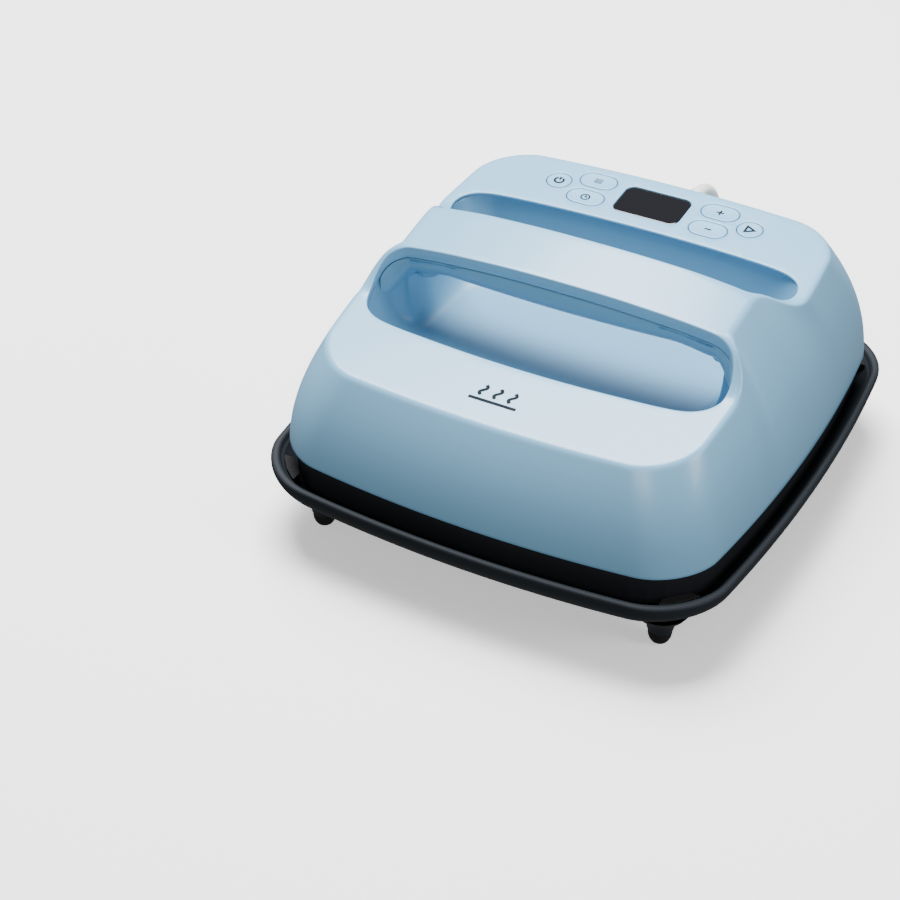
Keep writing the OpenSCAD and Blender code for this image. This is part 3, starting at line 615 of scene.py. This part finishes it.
def wall_columns(foot, crest, share):
    """Points of the side wall at a share of its height; the share may differ from point to point."""
    p = with_z(foot, casing_z)
    q = with_z(crest, top_height(crest[:, 0], crest[:, 1]))
    d = q - p
    p1 = p + d * [0.06, 0.06, 0.45]
    p2 = q - d * [0.34, 0.34, 0.2]
    s = np.asarray(share, float)[..., None] if np.ndim(share) else share
    u = 1 - s
    return u ** 3 * p + 3 * u * u * s * p1 + 3 * u * s * s * p2 + s ** 3 * q


def lip_rows(loop, radius, depth, steps=4):
    """Rows from the flat surface over a rounded edge and down an opening's turned-in wall."""
    normal = outward(loop)
    rim = loop + normal * radius[:, None]
    surface = top_height(loop[:, 0], loop[:, 1])
    start = with_z(rim, top_height(rim[:, 0], rim[:, 1]))
    corner = with_z(loop, surface)
    end = with_z(loop, surface - radius)
    rows = [start, *bend(start, corner, end, steps)]
    rows.append(with_z(loop, surface - depth + 0.5))
    rows.append(with_z(loop + normal * 0.15, surface - depth + 0.12))
    rows.append(with_z(loop + normal * 0.5, surface - depth))
    rows.append(with_z(loop + normal * 2.2, surface - depth))
    return rim, rows


def panel_hole_rows(loop, spread, depth):
    """Rows of a small rounded hole in the panel."""
    z = np.zeros(len(loop))
    normal = outward(loop)
    flat = [(spread, 0), (spread * 0.45, -0.04), (spread * 0.12, -0.16), (0, -0.4), (0, -depth)]
    return [on_panel(with_z(loop + normal * out, z + drop)) for out, drop in flat]


def make_shell():
    foot = bowed(casing_w / 2, casing_d / 2, 27, 10)
    crest = crest_line()
    room = np.minimum(nearest(crest, finger_loop), nearest(crest, slot_loop))
    shoulder = np.minimum(shoulder_round, 0.4 * room)
    kernel = np.ones(5) / 5
    shoulder = np.convolve(np.concatenate([shoulder[-2:], shoulder, shoulder[:2]]), kernel, "valid")
    build = Build()

    # lower edge and side wall
    inward = -outward(foot)
    edge = [(2.6, 6), (2.6, 0.7), (2.3, 0.2), (1.7, 0), (0.8, 0), (0.3, 0.15), (0.05, 0.6)]
    rows = [with_z(foot + inward * t, casing_z + up) for t, up in edge]
    corner = wall_columns(foot, crest, 1.0)
    reach = np.linalg.norm(corner - wall_columns(foot, crest, 0.9), axis=1) / 0.1
    last_share = 1 - shoulder * 1.15 / reach
    for s in np.linspace(0.03, 1, 26):
        rows.append(wall_columns(foot, crest, last_share * s))
    rim = crest - outward(crest) * shoulder[:, None]
    finish = with_z(rim, top_height(rim[:, 0], rim[:, 1]))
    rows.extend(bend(rows[-1], corner, finish, 6))
    build.loft(rows)

    # openings and panel holes
    loops = [rim]
    for loop, depth in ((finger_loop, lip_depth), (slot_loop, slot_lip_depth)):
        radius = np.full(len(loop), lip_round)
        hole, rows = lip_rows(loop, radius, depth)
        build.loft(rows)
        loops.append(hole)
    round_d = 2 * (button_r + key_gap)
    outlines = [corner_loop(lens_w + 2 * lens_gap, lens_d + 2 * lens_gap, 5.3)]
    outlines += [pill_loop(round_d, round_d) + p for p in round_keys]
    outlines += [pill_loop(pill_l + 2 * key_gap, pill_d + 2 * key_gap) + p for p in long_keys]
    for loop in outlines:
        rows = panel_hole_rows(loop, 0.45, 2.6)
        build.loft(rows)
        loops.append(rows[0][:, :2])

    # the top surface between them
    spacing = 3.0
    gx, gy = np.meshgrid(np.arange(-108, 108, spacing), np.arange(-120, 102, spacing))
    gx = gx + (np.arange(gx.shape[0])[:, None] % 2) * spacing / 2
    grid = np.stack([gx.ravel(), gy.ravel()], 1)
    keep = inside(grid, rim) & (nearest(grid, np.concatenate(loops)) > 1.3)
    for hole in loops[1:]:
        keep &= ~inside(grid, hole)
    grid = grid[keep]
    flat = np.concatenate(loops + [grid])
    edges = []
    start = 0
    for loop in loops:
        n = len(loop)
        edges += [(start + i, start + (i + 1) % n) for i in range(n)]
        start += n
    verts, _, faces, *_ = delaunay_2d_cdt([Vector(p) for p in flat.tolist()], edges, [], 1, 1e-6)
    plan = np.array([tuple(v) for v in verts])
    height = top_height(plan[:, 0], plan[:, 1])
    centres = np.array([plan[list(f)].mean(0) for f in faces])
    good = inside(centres, rim)
    for hole in loops[1:]:
        good &= ~inside(centres, hole)
    first = build.add(with_z(plan, height))
    build.faces += [tuple(first + i for i in f) for f, ok in zip(faces, good) if ok]
    piece = build.done("casing_shell", "press", SHELL)
    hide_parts("top_shell")


make_shell()


# ---------- finger cavity and handle cover ----------


def lip_height(y):
    """Depth of the shell's turned-in edge: deep in front, shallow round the rear opening."""
    return mix(lip_depth, slot_lip_depth, ramp(y, -8, 6))


def liner_top():
    p = bowed(101, 66.4, 15.5, 4, EVEN, np.linspace(-1, 1, 61), 12) + [0, liner_y]
    x, y = p[:, 0], p[:, 1]
    front = 11 * ramp(y, -42, -33)
    depth = np.where(y < -20, front, 11 * (1 - ramp(y, -12, 30)))
    return np.stack([x - np.sign(x) * depth * ramp(np.abs(x), 55, 78), y], 1)


def make_liner():
    """Smooth bowl under the handle, with a rounded upper edge just below the shell's."""
    top = liner_top()
    plan = (EVEN, np.linspace(-1, 1, 61), 12)
    bottom = bowed(90, 56, 20, 4, *plan) + [0, liner_y - 7]
    pan = bowed(78, 45, 16, 4, *plan) + [0, liner_y - 9]
    x, y = top[:, 0], top[:, 1]
    edge = np.minimum(top_height(x, y), 139) - lip_height(y) - 0.6
    p0 = with_z(pan, cavity_floor)
    p1 = with_z(mix(pan, bottom, 0.9), cavity_floor)
    p2 = with_z(mix(bottom, top, 0.6), mix(cavity_floor, edge, 0.3))
    p3 = with_z(top, edge - 0.7)
    rows = []
    for s in np.linspace(0, 1, 26):
        u = 1 - s
        rows.append(u ** 3 * p0 + 3 * u * u * s * p1 + 3 * u * s * s * p2 + s ** 3 * p3)
    normal = outward(top)
    for out, up in ((0.12, -0.3), (0.5, 0), (1.2, 0), (2.4, 0)):
        rows.append(with_z(top + normal * out, edge + up))
    build = Build()
    inner = [with_z(mix(np.array([[0, liner_y]]), pan, s), cavity_floor) for s in (0.02, 0.25, 0.5, 0.75)]
    build.loft(inner + rows, cap_first=True)
    # The bowl takes the shell blue darkened as painted shade for the cavity.
    piece = build.done("cavity_bowl", "press", LINER_SHADED_BLUE)
    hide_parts("cavity_liner")


def grip_under(x):
    """Underside of the handle: level along the grip and dipping into the cavity's ends."""
    return grip_z - 3.5 * ramp(np.abs(x), 62, 86) - 15 * ramp(np.abs(x), 84, 99)


def branch(points, x):
    """Y of an opening's edge at a distance from the middle."""
    p = np.array(points)
    return float(np.interp(abs(x), p[:, 0], p[:, 1]))


def make_grip():
    """Rounded underside of the handle; its ends follow the corners of both openings."""
    front_edge = finger_loop[(finger_loop[:, 0] > 0) & (finger_loop[:, 1] > -53)]
    back_edge = slot_loop[(slot_loop[:, 0] > 0) & (slot_loop[:, 1] < 37)]
    front_edge = front_edge[np.argsort(front_edge[:, 0])]
    back_edge = back_edge[np.argsort(back_edge[:, 0])]
    side = np.concatenate([np.linspace(0, 80, 30), np.linspace(82, 92, 10), np.linspace(92.8, 98.6, 13)])
    rows = []
    for x in np.concatenate([-side[:0:-1], side]):
        front = branch(front_edge, x) + 0.15
        back = branch(back_edge, x) - 0.15
        top_front = float(top_height(x, front)) - lip_depth - 0.55
        top_back = float(top_height(x, back)) - slot_lip_depth - 0.55
        under = float(grip_under(x))
        round_r = 12.5 - 4 * float(ramp(abs(x), 84, 99))
        half = min((back - front) / 2, 18.0)
        row = [
            (x, back - 1.6, top_back), (x, back - 0.4, top_back), (x, back - 0.06, top_back - 0.2),
            (x, back, top_back - 0.6),
        ]
        for share in (0.25, 0.5, 0.75):
            row.append((x, back, mix(top_back - 0.6, under + round_r, share)))
        for angle in np.linspace(0, 180, 25):
            turn = math.radians(angle)
            c, s = math.cos(turn), math.sin(turn)
            squeeze = half * math.copysign(1 - abs(c) ** 0.8, c)
            y = back - squeeze if angle < 91 else front - squeeze
            row.append((x, y, under + round_r * (1 - s ** 0.8)))
        for share in (0.25, 0.5, 0.75):
            row.append((x, front, mix(under + round_r, top_front - 0.6, share)))
        row += [
            (x, front, top_front - 0.6), (x, front + 0.06, top_front - 0.2), (x, front + 0.4, top_front),
            (x, front + 1.6, top_front),
        ]
        rows.append(np.array(row))
    build = Build()
    build.loft(rows, closed=False)
    n = len(rows[0])
    build.faces.append(tuple(range(n)))
    last = (len(rows) - 1) * n
    build.faces.append(tuple(last + i for i in range(n))[::-1])
    boss = ((7.6, 121), (7.6, 111.4), (7.45, 111), (7.1, 110.7), (6.6, 110.6), (3, 110.6))
    for x in (-boss_x, boss_x):
        build.loft(turned(x, boss_y, boss), cap_last=True)
    # The underside takes the shell blue darkened as painted shade.
    piece = build.done("grip_underside", "press", GRIP_SHADED_BLUE)
    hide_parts("handle_cover")


make_liner()
make_grip()


# ---------- display, keys and printed signs ----------


def make_lens():
    """Black glass window with a small ground edge."""
    build = Build()
    rows = []
    profile = ((0, -1.8), (0, -0.62), (0.1, -0.48), (0.32, -0.4), (0.7, -0.38), (1, -0.38), (1.6, -0.38))
    for inset, drop in profile:
        loop = corner_loop(lens_w - 2 * inset, lens_d - 2 * inset, max(5 - inset, 1.2))
        rows.append(on_panel(with_z(loop, drop)))
    build.loft(rows, cap_first=True, cap_last=True)
    piece = build.done("display_window", "press", GLASS)
    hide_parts("display_lens")


def make_key(name, node, body, centre, length, width):
    """Flush key cap: rounded rim and a faintly dished face."""
    build = Build()
    rows = []
    profile = (
        (-0.9, -4.8), (-0.9, -3.5), (0, -3.4), (0, -0.45), (0.05, -0.15), (0.2, 0.03), (0.5, 0.1),
        (1.1, 0.1), (2, 0.06), (3.4, 0), (5.2, -0.03),
    )
    for inset, up in profile:
        rows.append(on_panel(with_z(pill_loop(length - 2 * inset, width - 2 * inset) + centre, up)))
    build.loft(rows, cap_first=True, cap_last=True)
    piece = build.done(name, body, KEY)
    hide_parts(node)


def stroke(build, points, width, closed=False, place=on_panel, up=0.1):
    """A printed line of even width, laid just proud of its surface."""
    p = np.array(points, float)
    if closed:
        ahead, behind = np.roll(p, -1, 0), np.roll(p, 1, 0)
    else:
        ahead = np.concatenate([p[1:], [2 * p[-1] - p[-2]]])
        behind = np.concatenate([[2 * p[0] - p[1]], p[:-1]])
    d1 = (p - behind) / np.linalg.norm(p - behind, axis=1, keepdims=True)
    d2 = (ahead - p) / np.linalg.norm(ahead - p, axis=1, keepdims=True)
    n = np.stack([d1[:, 1] + d2[:, 1], -(d1[:, 0] + d2[:, 0])], 1)
    n /= np.linalg.norm(n, axis=1, keepdims=True)
    n1 = np.stack([d1[:, 1], -d1[:, 0]], 1)
    n *= (width / 2 / np.clip((n * n1).sum(1), 0.35, 1))[:, None]
    rows = [
        place(with_z(p + n, up - 0.09)), place(with_z(p + n * 0.96, up)),
        place(with_z(p - n * 0.96, up)), place(with_z(p - n, up - 0.09)),
    ]
    count = len(p)
    start = build.add(np.concatenate(rows))
    for j in range(3):
        for i in range(count if closed else count - 1):
            k = (i + 1) % count
            a = start + j * count
            build.faces.append((a + i, a + k, a + count + k, a + count + i))
    if not closed:
        for i in (0, count - 1):
            build.faces.append(tuple(start + j * count + i for j in range(4)))


def arc(cx, cy, r, a0, a1, steps=28):
    turn = np.radians(np.linspace(a0, a1, steps))
    return np.stack([cx + r * np.cos(turn), cy + r * np.sin(turn)], 1)


def make_sign(name, body, strokes):
    build = Build()
    for points, width, closed in strokes:
        stroke(build, points, width, closed)
    build.done(name, body, INK, smooth_faces=False)


KEYS = [
    ("key_power", "button_power", "power_key", round_keys[0], 2 * button_r, 2 * button_r),
    ("key_start", "button_start", "start_key", round_keys[1], 2 * button_r, 2 * button_r),
    ("key_heat", "button_heat", "heat_key", long_keys[0], pill_l, pill_d),
    ("key_timer", "button_timer", "timer_key", long_keys[1], pill_l, pill_d),
    ("key_plus", "button_plus", "plus_key", long_keys[2], pill_l, pill_d),
    ("key_minus", "button_minus", "minus_key", long_keys[3], pill_l, pill_d),
]
make_lens()
for key_name, key_node, key_body, key_centre, key_length, key_width in KEYS:
    make_key(key_name, key_node, key_body, np.array(key_centre), key_length, key_width)

line_w, bold_w = 0.95, 1.25
cx, cy = round_keys[0]
make_sign("sign_power", "power_key", [
    (arc(cx, cy, 2.5, 122, 418), bold_w, False), ([(cx, cy + 0.6), (cx, cy + 3.1)], bold_w, False),
])
cx, cy = round_keys[1]
make_sign("sign_start", "start_key", [
    ([(cx - 2.1, cy + 2.6), (cx - 2.1, cy - 2.6), (cx + 2.6, cy)], bold_w, True),
])
cx, cy = long_keys[0]
wave_t = np.linspace(-1, 1, 17)
make_sign("sign_heat", "heat_key", [
    (np.stack([cx + 2.3 * wave_t, cy + dy + 0.35 * np.sin(wave_t * 2 * math.pi)], 1), 0.5, False)
    for dy in (-1.5, 0, 1.5)
])
cx, cy = long_keys[1]
make_sign("sign_timer", "timer_key", [
    (arc(cx, cy, 2.4, 0, 350, 36), line_w * 0.85, True),
    ([(cx, cy + 1.5), (cx, cy), (cx + 1.1, cy)], line_w * 0.8, False),
])
cx, cy = long_keys[2]
make_sign("sign_plus", "plus_key", [
    ([(cx - 2.1, cy), (cx + 2.1, cy)], line_w, False),
    ([(cx, cy - 2.1), (cx, cy - 0.32)], line_w, False), ([(cx, cy + 0.32), (cx, cy + 2.1)], line_w, False),
])
cx, cy = long_keys[3]
make_sign("sign_minus", "minus_key", [([(cx - 1.9, cy), (cx + 1.9, cy)], line_w, False)])


def on_slope(points):
    """Points on the front slope, measured from the emblem's middle."""
    p = np.asarray(points, float)
    x, y = p[:, 0] - 2.0, p[:, 1] - 98.6
    return np.stack([x, y, slope_z + slope_tilt * (y - slope_y) + p[:, 2]], 1)


def make_emblem():
    """Generic pictogram on the front slope: three rising heat waves over a plate."""
    build = Build()
    t = np.linspace(-1, 1, 21)
    for dx in (-8, 0, 8):
        points = np.stack([dx + 1.3 * np.sin(t * math.pi), 1.9 + 3.6 * t], 1)
        stroke(build, points, 1.9, False, on_slope, 0.06)
    stroke(build, [(-13, -4.6), (13, -4.6)], 2.0, False, on_slope, 0.06)
    build.done("front_pictogram", "press", INK, smooth_faces=False)


make_emblem()


# ---------- base ----------


def base_loop(t):
    return bowed(base_w / 2 - t, base_d / 2 - t, 32 - t / 3, 10, EVEN, EVEN, 14)


def make_tray():
    """Shallow tray: flat bottom, sides curving up and out, and a rolled rim."""
    reach = lambda z: 35 * (np.clip(39.4 - z, 0, None) / 28.4) ** 1.9
    inner = []
    for s in (0.02, 0.3, 0.6, 0.85):
        inner.append(with_z(base_loop(41) * s, 14.0))
    for z in np.linspace(14.0, rim_z - 3.4, 22):
        inner.append(with_z(base_loop(reach(z - 2.9) + 4.4), z))
    rim = [
        (4.4, -3.2), (4.1, -2), (3.6, -0.8), (3, -0.2), (2.3, 0), (1.4, -0.06), (0.6, -0.35),
        (0.15, -0.9), (0, -1.8),
    ]
    inner += [with_z(base_loop(t), rim_z + dz) for t, dz in rim]
    outer = [with_z(base_loop(reach(z)), z) for z in np.linspace(rim_z - 3.4, 11.6, 26)]
    outer += [
        with_z(base_loop(34.5), 11.1), with_z(base_loop(37), 11.0),
        with_z(base_loop(41) * 0.7, 11.0), with_z(base_loop(41) * 0.05, 11.0),
    ]
    build = Build()
    build.loft(inner + outer, cap_first=True, cap_last=True)
    post = (
        (3, 8.2), (6.3, 8.2), (6.6, 8.6), (6.9, 9.8), (7.3, 11.5), (8.2, 13.5), (10, 16), (13, 19), (15, 22),
    )
    underside = np.concatenate(outer)
    for x, y in foot_places:
        rows = turned(x, y, post)
        for row in rows:
            closest = np.argmin(np.linalg.norm(row[:, None, :2] - underside[None, :, :2], axis=2), axis=1)
            row[:, 2] = np.minimum(row[:, 2], underside[closest, 2] + 1.2)
        build.loft(rows)
    piece = build.done("tray_moulding", "base", BLACK)
    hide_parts("base_tray")


def make_feet():
    """Round rubber feet with domed ends, pushed into the posts."""
    profile = (
        (3, 8.9), (5.9, 8.9), (6.1, 8.1), (6.1, 6), (5.8, 4), (5.2, 2.4), (4.4, 1.1), (3.4, 0.3),
        (2.4, 0), (1, 0),
    )
    build = Build()
    for x, y in foot_places:
        build.loft(turned(x, y, profile), cap_first=True, cap_last=True)
    piece = build.done("rubber_feet", "base", RUBBER)
    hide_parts("base_feet")


make_tray()
make_feet()


# ---------- surroundings ----------


def plain(name, color, glow):
    """Even, dull material with a slight glow of its own."""
    made = bpy.data.materials.new(name)
    made.use_nodes = True
    shader = made.node_tree.nodes["Principled BSDF"]
    shader.inputs["Base Color"].default_value = (*color, 1)
    shader.inputs["Roughness"].default_value = 0.6
    shader.inputs["Specular IOR Level"].default_value = 0.2
    shader.inputs["Emission Color"].default_value = (1, 1, 1, 1)
    shader.inputs["Emission Strength"].default_value = glow
    return made


def make_floor():
    mesh = bpy.data.meshes.new("floor")
    mesh.from_pydata([(-6, -6, 0), (6, -6, 0), (6, 6, 0), (-6, 6, 0)], [], [(0, 1, 2, 3)])
    floor = bpy.data.objects.new("floor", mesh)
    bpy.context.collection.objects.link(floor)
    mesh.materials.append(plain("pale_floor", (0.9, 0.9, 0.9), 0.5))
    floor.location.z = -0.0002
    floor.visible_diffuse = False
    floor.visible_glossy = False


def add_light(name, place, aim, size, power):
    data = bpy.data.lights.new(name, "AREA")
    data.shape = "RECTANGLE"
    data.size, data.size_y = size
    data.energy = power
    light = bpy.data.objects.new(name, data)
    bpy.context.collection.objects.link(light)
    light.location = place
    light.rotation_euler = (Vector(aim) - Vector(place)).to_track_quat("-Z", "Y").to_euler()


make_floor()
add_light("overhead", (-0.45, 0.46, 1.8), (0, 0, 0.06), (1.2, 1.2), 128)
add_light("front_fill", (0.55, -1.9, 1.25), (0, 0, 0.1), (0.9, 0.7), 14)
add_light("side_fill", (2.0, 0.1, 1.0), (0, 0, 0.08), (0.8, 0.8), 22)
world = bpy.data.worlds.new("studio")
world.use_nodes = True
world.node_tree.nodes["Background"].inputs["Color"].default_value = (1, 1, 1, 1)
world.node_tree.nodes["Background"].inputs["Strength"].default_value = 0.25
bpy.context.scene.world = world
